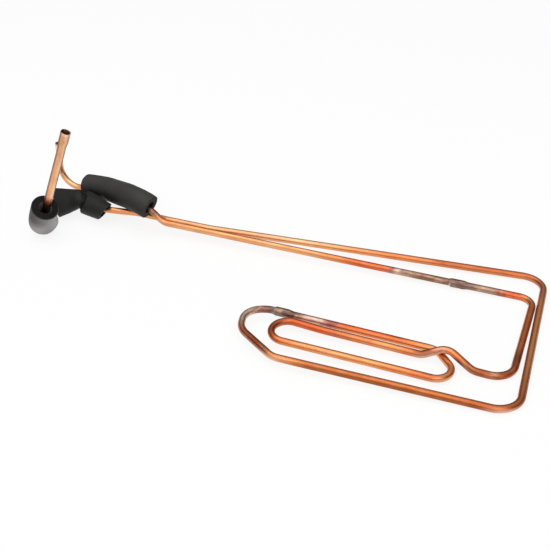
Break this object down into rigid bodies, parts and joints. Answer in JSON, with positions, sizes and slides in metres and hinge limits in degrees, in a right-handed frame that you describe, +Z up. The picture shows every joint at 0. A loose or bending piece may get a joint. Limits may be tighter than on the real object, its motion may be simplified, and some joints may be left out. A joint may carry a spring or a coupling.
{
  "type": "immersion wort chiller",
  "caption": "Flat loop of bent copper tube with hairpins inside it, brazed sockets, a leaning inlet riser, an upright outlet, and black foam sleeves at the end where the tubes turn up.",
  "frame": {"origin": "centre of the footprint, on the surface that the chiller lies on", "axes": "+X along the back run of the loop, from the riser towards the closed end; +Y from the front run to the back run; +Z up"},
  "size_m": [0.5036, 0.2479, 0.1198],
  "materials": {
    "copper": "drawn copper tube, satin, orange to brown, with grey, purple and red heat tints on both sides of the brazed joints",
    "braze": "pale silvery braze filler, smooth and slightly dull",
    "foam": "matt black closed-cell pipe insulation foam with a fine skin and open cells on its cut ends"
  },
  "bodies": {
    "root": {"riser_tube": "copper", "feed_tube": "copper", "coil_tube": "copper", "return_tube": "copper", "reducer_braze": "braze", "lower_joint_braze": "braze", "upper_joint_braze": "braze", "elbow_sleeve": "foam", "kinked_sleeve": "foam", "long_sleeve": "foam"}
  },
  "joints": []
}
